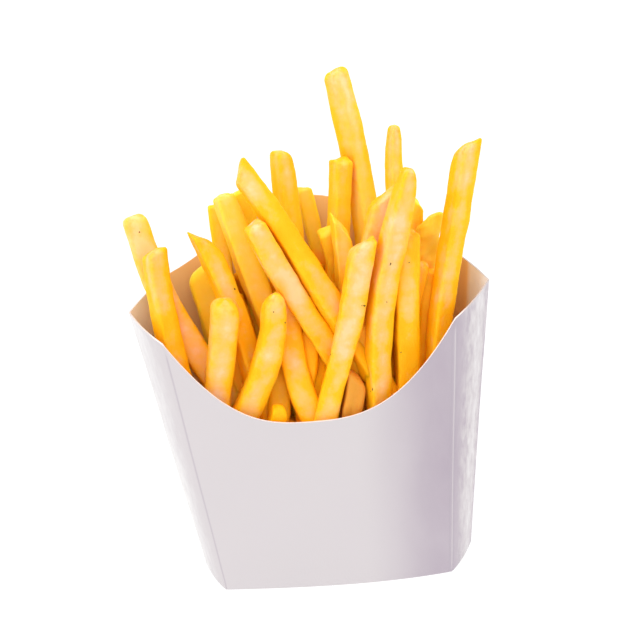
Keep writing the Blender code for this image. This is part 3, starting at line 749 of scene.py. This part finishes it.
def fry_surface(tip, foot, sway, thickness, slant, look, rings, lumps, seed):
    """Grid of points on one fry, the place of each ring along it, and how deep a tone each takes.

    The section's sides sink a little, as fried faces do, and it swells, thins, wanders and turns
    slowly along the length. The tip is rounded by a quarter circle, and slant tips it so that its
    right side stands higher, by that share of the way to the right. Ripples roughen the crust and
    the cut end. The tone is deeper by a power of the nearness to a corner, partly the crust's own
    colour and partly a painted shade, and by the fourth power of the sine between the skin and the
    sight, a painted shade on the sides seen edge on.
    """
    _, turn, softness, taper = look
    rng = np.random.default_rng(seed)
    length = np.linalg.norm(tip - foot)
    half = 0.5 * thickness
    sizes, out, rounding = tip_rings(half, softness)
    size = np.concatenate((CLOSING[::-1], np.ones(rings), sizes))
    body = np.linspace(0.0, length - rounding, rings)
    along = np.concatenate((0.0 * CLOSING, body, length + out))
    share = along / length
    middle = fry_paths(tip[None], foot[None], np.array([sway]), share)[0]
    tangent, right, away = fry_axes(tip, foot, sway, share)

    angle, radius, facing = fry_section(softness)
    flatness = rng.uniform(*FLATNESS)
    twist = turn + TWIST * rng.uniform(-1.0, 1.0) * (share - TWIST_MIDDLE)
    widest = np.abs(radius * (np.cos(angle) * math.cos(turn)
                              - flatness * np.sin(angle) * math.sin(turn))).max()
    swell = 1.0 + sum(amount * waves(rng, share, *pace) for amount, pace in SWELLS)
    narrowing = 1.0 - taper * np.exp(-np.maximum(length - along, 0.0) / TAPER_LENGTH)
    uneven = 1.0 + SINK_CHANGE * np.sin(SINK_PACE * share[:, None] + 2.0 * angle)
    reach = half / widest * (radius - FACE_SINK * facing * uneven)
    reach *= (swell * size * narrowing)[:, None]
    u = reach * np.cos(angle)
    v = reach * np.sin(angle) * flatness
    to_right = u * np.cos(twist)[:, None] - v * np.sin(twist)[:, None]
    to_away = u * np.sin(twist)[:, None] + v * np.cos(twist)[:, None]
    steady = WANDER * (1.0 - np.clip(share, 0.0, 1.0) ** WANDER_POWER)
    drift_right = steady * waves(rng, share, *WANDER_PACE)
    drift_away = steady * waves(rng, share, *WANDER_PACE)
    outward = to_right[..., None] * right[:, None] + to_away[..., None] * away[:, None]
    points = middle[:, None] + outward
    points += (drift_right[:, None] * right + drift_away[:, None] * away)[:, None]

    cut = smooth(length - 2.0 * half * (0.5 + abs(slant)) - rounding, length, along)
    points += (slant * cut)[:, None, None] * to_right[..., None] * tangent[:, None]
    height, wavelength = RAGGED_END
    ragged = height * (1.0 - softness) * ripple(points, wavelength, seed + 7) * cut[:, None]
    points += ragged[..., None] * tangent[:, None]
    spread = outward / np.maximum(np.linalg.norm(outward, axis=-1, keepdims=True), 0.1 * half)
    points += spread * crust_height(points, size, lumps, seed)[..., None]
    edge_on = 1.0 - (spread @ SIGHT) ** 2
    deeper = CORNER_DEPTH * (1.0 - facing) ** CORNER_SHARPNESS + SIDE_PAINTED_SHADE * edge_on ** 2
    return points, along, np.minimum(deeper, 1.0)


def crowding(surface, own, placed):
    """How closely other fries press on each point of one: the largest of their nearnesses.

    A nearness is a bell curve of the gap from the point to the other fry's skin.
    """
    tips, feet, sway, thickness, _ = placed
    lines = fry_paths(tips, feet, sway, CROWD_SAMPLES)
    lines = np.delete(lines, own, 0)
    half = np.delete(0.5 * thickness, own)
    nearness = np.zeros(surface.shape[:2])
    for line, reach in zip(lines, half):
        away = np.sqrt(((surface[:, :, None] - line) ** 2).sum(-1).min(-1))
        gap = np.maximum(away - reach, 0.0)
        nearness = np.maximum(nearness, np.exp(-(gap / CROWD_GAP) ** 2))
    return nearness


def fry_tones(surface, along, deeper, close, look, drift, own_name):
    """Values at each point of a fry that its material reads.

    pale is its paleness with a drift, less low down by a painted shade. corner is how deep its corners
    and edge-on sides are, the sides' share being a painted shade; end nears 1 at the tip; and the
    crowding value, how closely others press, lays a painted shade. The brown share, partly browning
    and partly painted shade, is the same all over one fry. behind is a painted light in yellow, more
    on what stands free at the back of the heap.
    """
    height = surface[..., 2]
    free = (1.0 - close) * smooth(*BEHIND_HEIGHTS, height) if own_name else 0.0
    to_end = smooth(along[-1] - END_SHADE, along[-1], along)[:, None]
    return {
        "pale": look[0] + drift - LOWER_PAINTED_SHADE * smooth(*LOWER_HEIGHTS, height),
        "corner": deeper,
        "end": to_end + 0.0 * deeper,
        "crowd_shade": close,
        "brown_darkening": BROWNING_AND_SHADE.get(own_name, 0.0) + 0.0 * deeper,
        "behind": smooth(*BEHIND_DEPTHS, surface[..., 1]) * free + PAINTED_LIGHT_SHARES.get(own_name, 0.0),
    }


def make_fries(name, chosen, placed, looks, rings, material, seed):
    """One mesh of many fries, with a UV map: turns round a fry, and a length along it."""
    tips, feet, sway, thickness, slant = placed
    names = list(SHOWN_FRIES) + [""] * (len(tips) - len(SHOWN_FRIES))
    rng = np.random.default_rng(seed)
    points, quads, uv, tones = [], [], [], []
    start = 0
    for i, look in zip(chosen, looks):
        own_seed = seed + 10 * i
        surface, along, deeper = fry_surface(tips[i], feet[i], sway[i], thickness[i], slant[i], look,
                                             rings, LUMPINESS.get(names[i], 1.0), own_seed)
        drift = BROAD_DRIFT[0] * ripple(surface, BROAD_DRIFT[1], own_seed + 5)
        drift += FINE_DRIFT[0] * ripple(surface, FINE_DRIFT[1], seed + i)
        close = crowding(surface, i, placed)
        tones.append(fry_tones(surface, along, deeper, close, look, drift, names[i]))
        rows, columns = deeper.shape
        lengthwise = along / PATTERN_LENGTH + rng.uniform(*PATTERN_OFFSETS)
        uv.append(np.stack(np.broadcast_arrays(np.arange(columns) / columns, lengthwise[:, None]), -1))
        points.append(surface.reshape(-1, 3))
        quads.append(grid_faces(rows, columns, start, wrap=True))
        start += rows * columns
    values = {label: np.concatenate([tone[label].reshape(-1) for tone in tones])
              for label in tones[0]}
    return new_piece(name, np.concatenate(points), np.concatenate(quads), (material,), None, values,
                     np.concatenate([pair.reshape(-1, 2) for pair in uv]))


def make_flecks(fries, material):
    """Flecks of pepper and herb: flattened balls on the fries, set along the surface's normals.

    A fleck's rings are circles with three low lobes, narrower one way than the other. The shown
    ones take the point of the fries nearest to their place. The others fall at random on what faces
    away from the view.
    """
    rng = np.random.default_rng(SEED + 5)
    mesh = fries.data
    count = len(mesh.vertices)
    places = np.empty(3 * count, dtype=np.float32)
    normals = np.empty(3 * count, dtype=np.float32)
    mesh.vertices.foreach_get("co", places)
    mesh.vertex_normals.foreach_get("vector", normals)
    places = places.reshape(-1, 3) / MM
    normals = normals.reshape(-1, 3)
    table = np.array(SHOWN_FLECKS)
    shown = ((places[None] - table[:, None, :3]) ** 2).sum(-1).argmin(1)
    facing_away = normals @ SIGHT > FLECK_FACING_AWAY
    behind = np.flatnonzero((places[:, 2] > FLECK_LOWEST) & facing_away)
    chosen = np.concatenate((shown, rng.choice(behind, BACK_FLECKS, replace=False)))
    size = np.concatenate((table[:, 3], np.full(BACK_FLECKS, BACK_FLECK_SIZE)))
    total = len(chosen)
    centre = places[chosen][:, None, None]
    normal = normals[chosen]
    turn = rng.uniform(0.0, math.tau, total)
    first = np.cross(normal, np.stack((np.cos(turn), np.sin(turn), 0.3 + 0.0 * turn), -1))
    first /= np.linalg.norm(first, axis=1, keepdims=True)
    second = np.cross(normal, first)
    around = np.linspace(0.0, math.tau, FLECK_POINTS, endpoint=False)
    upward = np.linspace(-0.5 * math.pi, 0.5 * math.pi, FLECK_RINGS)
    narrow = rng.uniform(*FLECK_NARROWNESS, total)[:, None, None]
    lobes = 1.0 + FLECK_RAGGEDNESS * np.sin(3.0 * around + turn[:, None])[:, None]
    ring = np.cos(upward)[None, :, None] * size[:, None, None] * lobes
    along_first = (ring * np.cos(around))[..., None] * first[:, None, None]
    along_second = (ring * np.sin(around) * narrow)[..., None] * second[:, None, None]
    lift = (FLECK_THICKNESS * size[:, None] * np.sin(upward))[:, :, None, None]
    points = centre + along_first + along_second + lift * normal[:, None, None]
    quads = [grid_faces(FLECK_RINGS, FLECK_POINTS, FLECK_RINGS * FLECK_POINTS * i, wrap=True)
             for i in range(total)]
    return new_piece("dark_flecks", points.reshape(-1, 3), np.concatenate(quads), (material,))


def make_core(material):
    """Packed mass under the fries: the carton's own form, inset, with a lumpy top.

    The top rises by a parabola to the ends, and by a sine times a share towards the back.
    """
    def front_top(x):
        return CORE_TOP + CORE_END_RISE * (x / TOP_HALF_WIDTH) ** 2

    wall = np.stack([sheet_ring(level, inset=CORE_GAP, top=front_top, floor=CORE_GAP)
                     for level in np.linspace(0.0, 1.0, CORE_LEVELS)])
    half = len(half_loop_stops())
    lid = floor_grid(wall[-1], half)
    shares = np.linspace(0.0, 1.0, FLOOR_ROWS + 1)[:, None]
    height, wavelength = CORE_LUMPS
    lumps = height * ripple(lid, wavelength, 21) + CORE_BACK_RISE * shares
    lid[..., 2] += np.sin(np.pi * shares) * lumps
    points, quads = [], []
    start = 0
    for patch, wrap in ((wall, True), (lid, False), (floor_grid(wall[0], half), False)):
        rows, columns = patch.shape[:2]
        points.append(patch.reshape(-1, 3))
        quads.append(grid_faces(rows, columns, start, wrap))
        start += rows * columns
    return new_piece("packed_core", np.concatenate(points), np.concatenate(quads), (material,))


# Materials

# Papers: painted shade, usual and painted light tone, the tone of the faint clouds in each, and the
# painted shade in the scores
OUTER_TONES = ((0.33, 0.27, 0.335), (0.555, 0.524, 0.527), (0.75, 0.745, 0.73))
OUTER_CLOUD = (0.55, 0.515, 0.53)
OUTER_CLOUD_SHARE = 0.35
# The usual inner tone is partly the paper's own warm colour and partly painted orange bounce light
INNER_TONES = ((0.72, 0.41, 0.16), (0.90, 0.62, 0.29), (0.92, 0.98, 1.0))
INNER_CLOUD = (0.86, 0.56, 0.24)
INNER_CLOUD_SHARE = 0.2
CLOUD_FROM = 0.35
CLOUD_TO = 0.75
SCORE_SHADE_TONE = (0.40, 0.36, 0.40)
SCORE_SHADE_SHARE = 0.7
CRUMPLE_SHADING = 1.0
FRESH_EDGE = (0.88, 0.84, 0.80)
DULL_EDGE = (0.50, 0.45, 0.42)
EDGE_UNEVENNESS = 0.3
PAPER_ROUGHNESS = 0.62
EDGE_ROUGHNESS = 0.8

# Noises of the papers: scale, detail and stretch; and bumps: depth in metres and strength
CLOUD_NOISE = (60.0, 4.0, (1.0, 1.0, 0.45))
STREAK_NOISE = (460.0, 5.0, (1.0, 1.0, 0.4))
CRUMPLE_NOISE = (330.0, 5.0, (1.0, 1.0, 0.35))
FIBRE_NOISE = (1400.0, 5.0, (1.0, 1.0, 0.4))
UNDULATION_NOISE = (90.0, 2.0)
EDGE_NOISE = (500.0, 3.0)
CRUMPLE_BUMP = (0.0011, 0.9)
FIBRE_BUMP = (0.0001, 0.35)
UNDULATION_BUMP = (0.0006, 0.12)

# Fried crust: tones from an orange to a cream and where they stand on the ramp, then the tones and
# shares of what lies over them
CRUST_TONES = (
    (0.0, (0.995, 0.45, 0.001)),
    (0.4, (0.995, 0.50, 0.010)),
    (0.8, (0.985, 0.53, 0.155)),
    (1.0, (0.985, 0.585, 0.28)),
)
CRUST_LEVEL = -0.66
CORNER_WEIGHT = -0.50
TOAST_TONE = (0.88, 0.32, 0.008)
TOAST_SPOTS = ((0.50, (0.0, 0.0, 0.0)), (0.70, (1.0, 1.0, 1.0)))
TOAST_ANYWHERE = 0.02
TOAST_AT_END = 0.45
TOAST_AT_CORNER = 0.15
# Painted light in yellow, painted shade in orange where fries press close, and browning with shade
CRUST_TINTS = (
    ("behind", (0.995, 0.70, 0.03), 0.6),
    ("crowd_shade", (0.995, 0.43, 0.001), 0.6),
    ("brown_darkening", (0.62, 0.29, 0.06), 1.0),
)
CRUST_GLOSS = (0.34, 0.60)
BROAD_MOTTLING = (150.0, 3.0)
FINE_MOTTLING = (420.0, 4.0)
FINE_MOTTLING_SHARE = 0.5
TOAST_NOISE = (520.0, 5.0)
GLOSS_NOISE = (260.0, 3.0)
GRAIN_NOISE = (900.0, 4.0)
GRAIN_BUMP = (0.0003, 0.35)
STREAK_STRETCH = (26.0, 9.0, 1.0)
STREAK_BUMP = (0.0005, 0.25)
FLESH_GLOW = 0.5
FLESH_GLOW_RADII = (1.0, 0.6, 0.25)
FLESH_GLOW_DEPTH = 0.0025
CORE_TONE = (0.99, 0.45, 0.01)
FLECK_TONE = (0.16, 0.08, 0.01)


def material_nodes(name):
    """New material, with its node tree, shader and a helper that adds a node."""
    material = bpy.data.materials.new(name)
    material.use_nodes = True
    tree = material.node_tree
    shader = tree.nodes["Principled BSDF"]

    def add(kind, **values):
        node = tree.nodes.new(kind)
        for key, value in values.items():
            if key in node.inputs:
                node.inputs[key].default_value = value
            else:
                setattr(node, key, value)
        return node

    return material, tree, shader, add


def object_noise(add, tree, scale, detail=3.0, stretch=(1.0, 1.0, 1.0)):
    """Value of a noise on Object coordinates, stretched along the axes by a Mapping node."""
    place = add("ShaderNodeTexCoord")
    mapping = add("ShaderNodeMapping")
    mapping.inputs["Scale"].default_value = stretch
    noise = add("ShaderNodeTexNoise", Scale=scale, Detail=detail)
    tree.links.new(place.outputs["Object"], mapping.inputs["Vector"])
    tree.links.new(mapping.outputs["Vector"], noise.inputs["Vector"])
    return noise.outputs["Fac"]


def attribute(add, label):
    """Value of one of the piece's point attributes."""
    return add("ShaderNodeAttribute", attribute_name=label).outputs["Fac"]


def combined(add, tree, operation, *values):
    """Result of a Math node; each value is a number or the output of another node."""
    node = add("ShaderNodeMath", operation=operation)
    for socket, value in zip(node.inputs, values):
        if isinstance(value, float):
            socket.default_value = value
        else:
            tree.links.new(value, socket)
    return node.outputs[0]


def laid_over(add, tree, below, tone, share):
    """One tone laid over the colour below it, by a share between 0 and 1 from another node."""
    over = add("ShaderNodeMix", data_type="RGBA")
    over.inputs["B"].default_value = (*tone, 1.0)
    tree.links.new(below, over.inputs["A"])
    tree.links.new(share, over.inputs["Factor"])
    return over.outputs["Result"]


def ramped(add, tree, stops, value):
    """Colour that a ramp through positions and linear colours gives for another node's value."""
    ramp = add("ShaderNodeValToRGB")
    elements = ramp.color_ramp.elements
    while len(elements) < len(stops):
        elements.new(0.5)
    for element, (position, colour) in zip(elements, stops):
        element.position = position
        element.color = (*colour, 1.0)
    tree.links.new(value, ramp.inputs["Fac"])
    return ramp.outputs["Color"]


def add_bump(add, tree, shader, height, distance, strength=1.0, before=None):
    """Bump from a height output; before is an earlier bump that it builds on."""
    bump = add("ShaderNodeBump", Strength=strength, Distance=distance)
    tree.links.new(height, bump.inputs["Height"])
    if before is not None:
        tree.links.new(before.outputs["Normal"], bump.inputs["Normal"])
    tree.links.new(bump.outputs["Normal"], shader.inputs["Normal"])
    return bump


def crust_colour(add, tree):
    """Tone picked from the ramp, then toast, yellow, orange and brown laid over it in turn.

    What picks the tone is the fry's paleness, with its painted light and shade, less its share of
    corner and edge-on painted shade, plus two noises. Toast lies in spots, mostly at the tips. The
    yellow laid over is a painted light, the orange a painted shade, and the brown partly browning and
    partly painted shade.
    """
    broad = object_noise(add, tree, *BROAD_MOTTLING)
    level = combined(add, tree, "ADD", broad, CRUST_LEVEL)
    fine = object_noise(add, tree, *FINE_MOTTLING)
    level = combined(add, tree, "MULTIPLY_ADD", fine, FINE_MOTTLING_SHARE, level)
    level = combined(add, tree, "MULTIPLY_ADD", attribute(add, "corner"), CORNER_WEIGHT, level)
    level = combined(add, tree, "ADD", attribute(add, "pale"), level)
    colour = ramped(add, tree, CRUST_TONES, level)
    toast = combined(add, tree, "MULTIPLY_ADD", attribute(add, "end"), TOAST_AT_END, TOAST_ANYWHERE)
    toast = combined(add, tree, "MULTIPLY_ADD", attribute(add, "corner"), TOAST_AT_CORNER, toast)
    spots = ramped(add, tree, TOAST_SPOTS, object_noise(add, tree, *TOAST_NOISE))
    colour = laid_over(add, tree, colour, TOAST_TONE, combined(add, tree, "MULTIPLY", toast, spots))
    for label, tone, most in CRUST_TINTS:
        share = combined(add, tree, "MULTIPLY", attribute(add, label), most)
        colour = laid_over(add, tree, colour, tone, share)
    return colour


def streaks_along(add, tree):
    """Fine streaks along a fry, from a noise on its UV map that is finer round it than along it."""
    along = add("ShaderNodeUVMap", uv_map="along")
    mapping = add("ShaderNodeMapping")
    mapping.inputs["Scale"].default_value = STREAK_STRETCH
    noise = add("ShaderNodeTexNoise", Scale=1.0, Detail=4.0)
    tree.links.new(along.outputs["UV"], mapping.inputs["Vector"])
    tree.links.new(mapping.outputs["Vector"], noise.inputs["Vector"])
    return noise.outputs["Fac"]


def fried_potato(name):
    """Fried crust: uneven tone and gloss, streaked and grainy, and letting a little light in."""
    material, tree, shader, add = material_nodes(name)
    tree.links.new(crust_colour(add, tree), shader.inputs["Base Color"])
    gloss = add("ShaderNodeMapRange")
    gloss.inputs["To Min"].default_value = CRUST_GLOSS[0]
    gloss.inputs["To Max"].default_value = CRUST_GLOSS[1]
    tree.links.new(object_noise(add, tree, *GLOSS_NOISE), gloss.inputs["Value"])
    tree.links.new(gloss.outputs["Result"], shader.inputs["Roughness"])
    shader.inputs["Subsurface Weight"].default_value = FLESH_GLOW
    shader.inputs["Subsurface Radius"].default_value = FLESH_GLOW_RADII
    shader.inputs["Subsurface Scale"].default_value = FLESH_GLOW_DEPTH
    shader.inputs["Specular IOR Level"].default_value = 0.14
    streaked = add_bump(add, tree, shader, streaks_along(add, tree), *STREAK_BUMP)
    add_bump(add, tree, shader, object_noise(add, tree, *GRAIN_NOISE), *GRAIN_BUMP, streaked)
    return material


def uneven_tone(add, tree):
    """Tone attribute of the sheet, with painted light and shade in streaks where it is crumpled."""
    noise = object_noise(add, tree, *STREAK_NOISE)
    streaks = combined(add, tree, "SUBTRACT", noise, 0.5)
    streaks = combined(add, tree, "MULTIPLY", streaks, attribute(add, "worn"))
    return combined(add, tree, "MULTIPLY_ADD", streaks, CRUMPLE_SHADING, attribute(add, "tone"))


def paper(name, tones, cloud, cloud_share, worn):
    """Uncoated paperboard: tone by attribute with faint clouds over it, and fibres in the bump.

    A worn paper also has a painted shade in its scores, and is streaked with painted light and shade
    and crumpled by the worn attribute. The tone attribute carries painted light and shade.
    """
    material, tree, shader, add = material_nodes(name)
    level = uneven_tone(add, tree) if worn else attribute(add, "tone")
    colour = ramped(add, tree, tuple(zip((0.0, 0.5, 1.0), tones)), level)
    amount = add("ShaderNodeMapRange")
    amount.inputs["From Min"].default_value = CLOUD_FROM
    amount.inputs["From Max"].default_value = CLOUD_TO
    amount.inputs["To Max"].default_value = cloud_share
    tree.links.new(object_noise(add, tree, *CLOUD_NOISE), amount.inputs["Value"])
    colour = laid_over(add, tree, colour, cloud, amount.outputs["Result"])
    if worn:
        # Painted shade in the pressed scores
        share = combined(add, tree, "MULTIPLY", attribute(add, "score"), SCORE_SHADE_SHARE)
        colour = laid_over(add, tree, colour, SCORE_SHADE_TONE, share)
    tree.links.new(colour, shader.inputs["Base Color"])
    shader.inputs["Roughness"].default_value = PAPER_ROUGHNESS
    shader.inputs["Specular IOR Level"].default_value = 0.3
    fibres = object_noise(add, tree, *FIBRE_NOISE)
    bump = add_bump(add, tree, shader, fibres, *FIBRE_BUMP)
    undulation = object_noise(add, tree, *UNDULATION_NOISE)
    bump = add_bump(add, tree, shader, undulation, *UNDULATION_BUMP, bump)
    if worn:
        noise = object_noise(add, tree, *CRUMPLE_NOISE)
        crumple = combined(add, tree, "MULTIPLY", noise, attribute(add, "worn"))
        add_bump(add, tree, shader, crumple, *CRUMPLE_BUMP, bump)
    return material


def cut_board(name):
    """Cut edge of the board: light on the panels and duller on the worn ends, with a fine noise."""
    material, tree, shader, add = material_nodes(name)
    noise = object_noise(add, tree, *EDGE_NOISE)
    share = combined(add, tree, "MULTIPLY_ADD", noise, EDGE_UNEVENNESS, attribute(add, "worn"))
    tone = ramped(add, tree, ((0.0, FRESH_EDGE), (1.0, DULL_EDGE)), share)
    tree.links.new(tone, shader.inputs["Base Color"])
    shader.inputs["Roughness"].default_value = EDGE_ROUGHNESS
    return material


def plain_finish(name, colour, roughness):
    """Material of one colour, broken up by a fine noise in its lightness."""
    material, tree, shader, add = material_nodes(name)
    darker = tuple(0.8 * channel for channel in colour)
    broken = ramped(add, tree, ((0.3, darker), (0.7, colour)), object_noise(add, tree, 500.0, 3.0))
    tree.links.new(broken, shader.inputs["Base Color"])
    shader.inputs["Roughness"].default_value = roughness
    return material


# Studio

# Camera: azimuth, elevation and roll in degrees, distance and target in metres, and the lens
VIEW_ANGLES = (3.8, 22.0, 6.6)
VIEW_DISTANCE = 0.62
VIEW_TARGET = (0.0031, 0.0, 0.1026)
LENS = 95.0
SENSOR = 36.0

# Soft suns: azimuth, elevation, strength, the angle that each fills, and colour
SUNS = {
    "key": (-52.0, 38.0, 0.65, 40.0, (1.0, 0.985, 0.96)),
    "top": (5.0, 62.0, 1.0, 60.0, (1.0, 1.0, 1.0)),
    "fill": (110.0, 22.0, 0.7, 50.0, (1.0, 0.97, 0.98)),
}
SURROUNDINGS = (0.98, 0.96, 1.0)
SURROUNDINGS_STRENGTH = 1.10
FLOOR_SIZE = 6000.0
FLOOR_GREY = 0.22
FLOOR_GLOW = 0.84


def from_direction(azimuth, elevation):
    """Unit vector towards a place at an azimuth, 0 in front and 90 on the right, and an elevation.

    Both are in radians.
    """
    level = math.cos(elevation)
    return Vector((math.sin(azimuth) * level, -math.cos(azimuth) * level, math.sin(elevation)))


def make_camera():
    """Camera of the photograph: a long lens looking down a little, rolled so that the carton leans."""
    azimuth, elevation, roll = (math.radians(angle) for angle in VIEW_ANGLES)
    back = from_direction(azimuth, elevation)
    right = (-back).cross(Vector((0.0, 0.0, 1.0))).normalized()
    up = right.cross(-back)
    tilted_right = right * math.cos(roll) - up * math.sin(roll)
    tilted_up = up * math.cos(roll) + right * math.sin(roll)
    data = bpy.data.cameras.new("camera")
    data.lens = LENS
    data.sensor_width = SENSOR
    camera = bpy.data.objects.new("camera", data)
    bpy.context.scene.collection.objects.link(camera)
    turn = Matrix((tilted_right, tilted_up, back)).transposed().to_4x4()
    camera.matrix_world = Matrix.Translation(Vector(VIEW_TARGET) + back * VIEW_DISTANCE) @ turn
    bpy.context.scene.camera = camera


def add_sun(name, azimuth, elevation, strength, softness, colour):
    """Soft sun, with its direction and the angle that it fills in degrees."""
    data = bpy.data.lights.new(name, "SUN")
    data.energy = strength
    data.angle = math.radians(softness)
    data.color = colour
    lamp = bpy.data.objects.new(name, data)
    bpy.context.scene.collection.objects.link(lamp)
    towards = from_direction(math.radians(azimuth), math.radians(elevation))
    lamp.rotation_euler = towards.to_track_quat("Z", "Y").to_euler()


def make_light():
    """Even surroundings, a broad key from the left in front, a top light and a fill from the right."""
    scene = bpy.context.scene
    scene.view_settings.view_transform = "Standard"
    world = bpy.data.worlds.new("surroundings")
    scene.world = world
    world.use_nodes = True
    background = world.node_tree.nodes["Background"]
    background.inputs["Color"].default_value = (*SURROUNDINGS, 1.0)
    background.inputs["Strength"].default_value = SURROUNDINGS_STRENGTH
    for name, sun in SUNS.items():
        add_sun(name, *sun)


def make_floor():
    """Pale floor that fills the view, faintly lit from below like a light table."""
    material, _, shader, _ = material_nodes("pale_floor")
    shader.inputs["Base Color"].default_value = (FLOOR_GREY, FLOOR_GREY, FLOOR_GREY, 1.0)
    shader.inputs["Roughness"].default_value = 0.9
    shader.inputs["Specular IOR Level"].default_value = 0.0
    shader.inputs["Emission Color"].default_value = (1.0, 1.0, 1.0, 1.0)
    shader.inputs["Emission Strength"].default_value = FLOOR_GLOW
    corners = FLOOR_SIZE * np.array(((-1.0, -1.0, 0.0), (1.0, -1.0, 0.0), (1.0, 1.0, 0.0),
                                     (-1.0, 1.0, 0.0)))
    floor = new_piece("floor", corners, np.array(((0, 1, 2, 3),)), (material,))


# The whole

def dress_carton():
    """Carton of three papers, in place of the carton's solid."""
    outside = paper("white_paperboard", OUTER_TONES, OUTER_CLOUD, OUTER_CLOUD_SHARE, True)
    inside = paper("warm_inner_paper", INNER_TONES, INNER_CLOUD, INNER_CLOUD_SHARE, False)
    carton = make_carton(outside, inside, cut_board("cut_board"))
    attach(carton, BODY)
    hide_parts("carton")


def dress_heap():
    """Fries that show, fries behind and below them, the mass under them and their flecks."""
    crust = fried_potato("fried_crust")
    placed = place_fries()
    count = len(placed[0])
    shown = len(SHOWN_FRIES)
    rng = np.random.default_rng(SEED + 2)
    fill_looks = [(rng.uniform(*FILL_PALENESS), rng.uniform(-FILL_TURN, FILL_TURN),
                   rng.uniform(*FILL_SOFTNESS), 0.0) for _ in range(count - shown)]
    fries = make_fries("shown_fries", range(shown), placed, LOOKS.values(), SHOWN_RINGS, crust, 100)
    heap = (
        fries,
        make_fries("lower_fries", range(shown, count), placed, fill_looks, FILL_RINGS, crust, 900),
        make_core(plain_finish("shaded_core", CORE_TONE, 0.7)),
        make_flecks(fries, plain_finish("dark_fleck", FLECK_TONE, 0.9)),
    )
    for piece in heap:
        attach(piece, BODY)
        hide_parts("fries")


def main():
    dress_carton()
    dress_heap()
    make_floor()
    make_light()
    make_camera()


main()
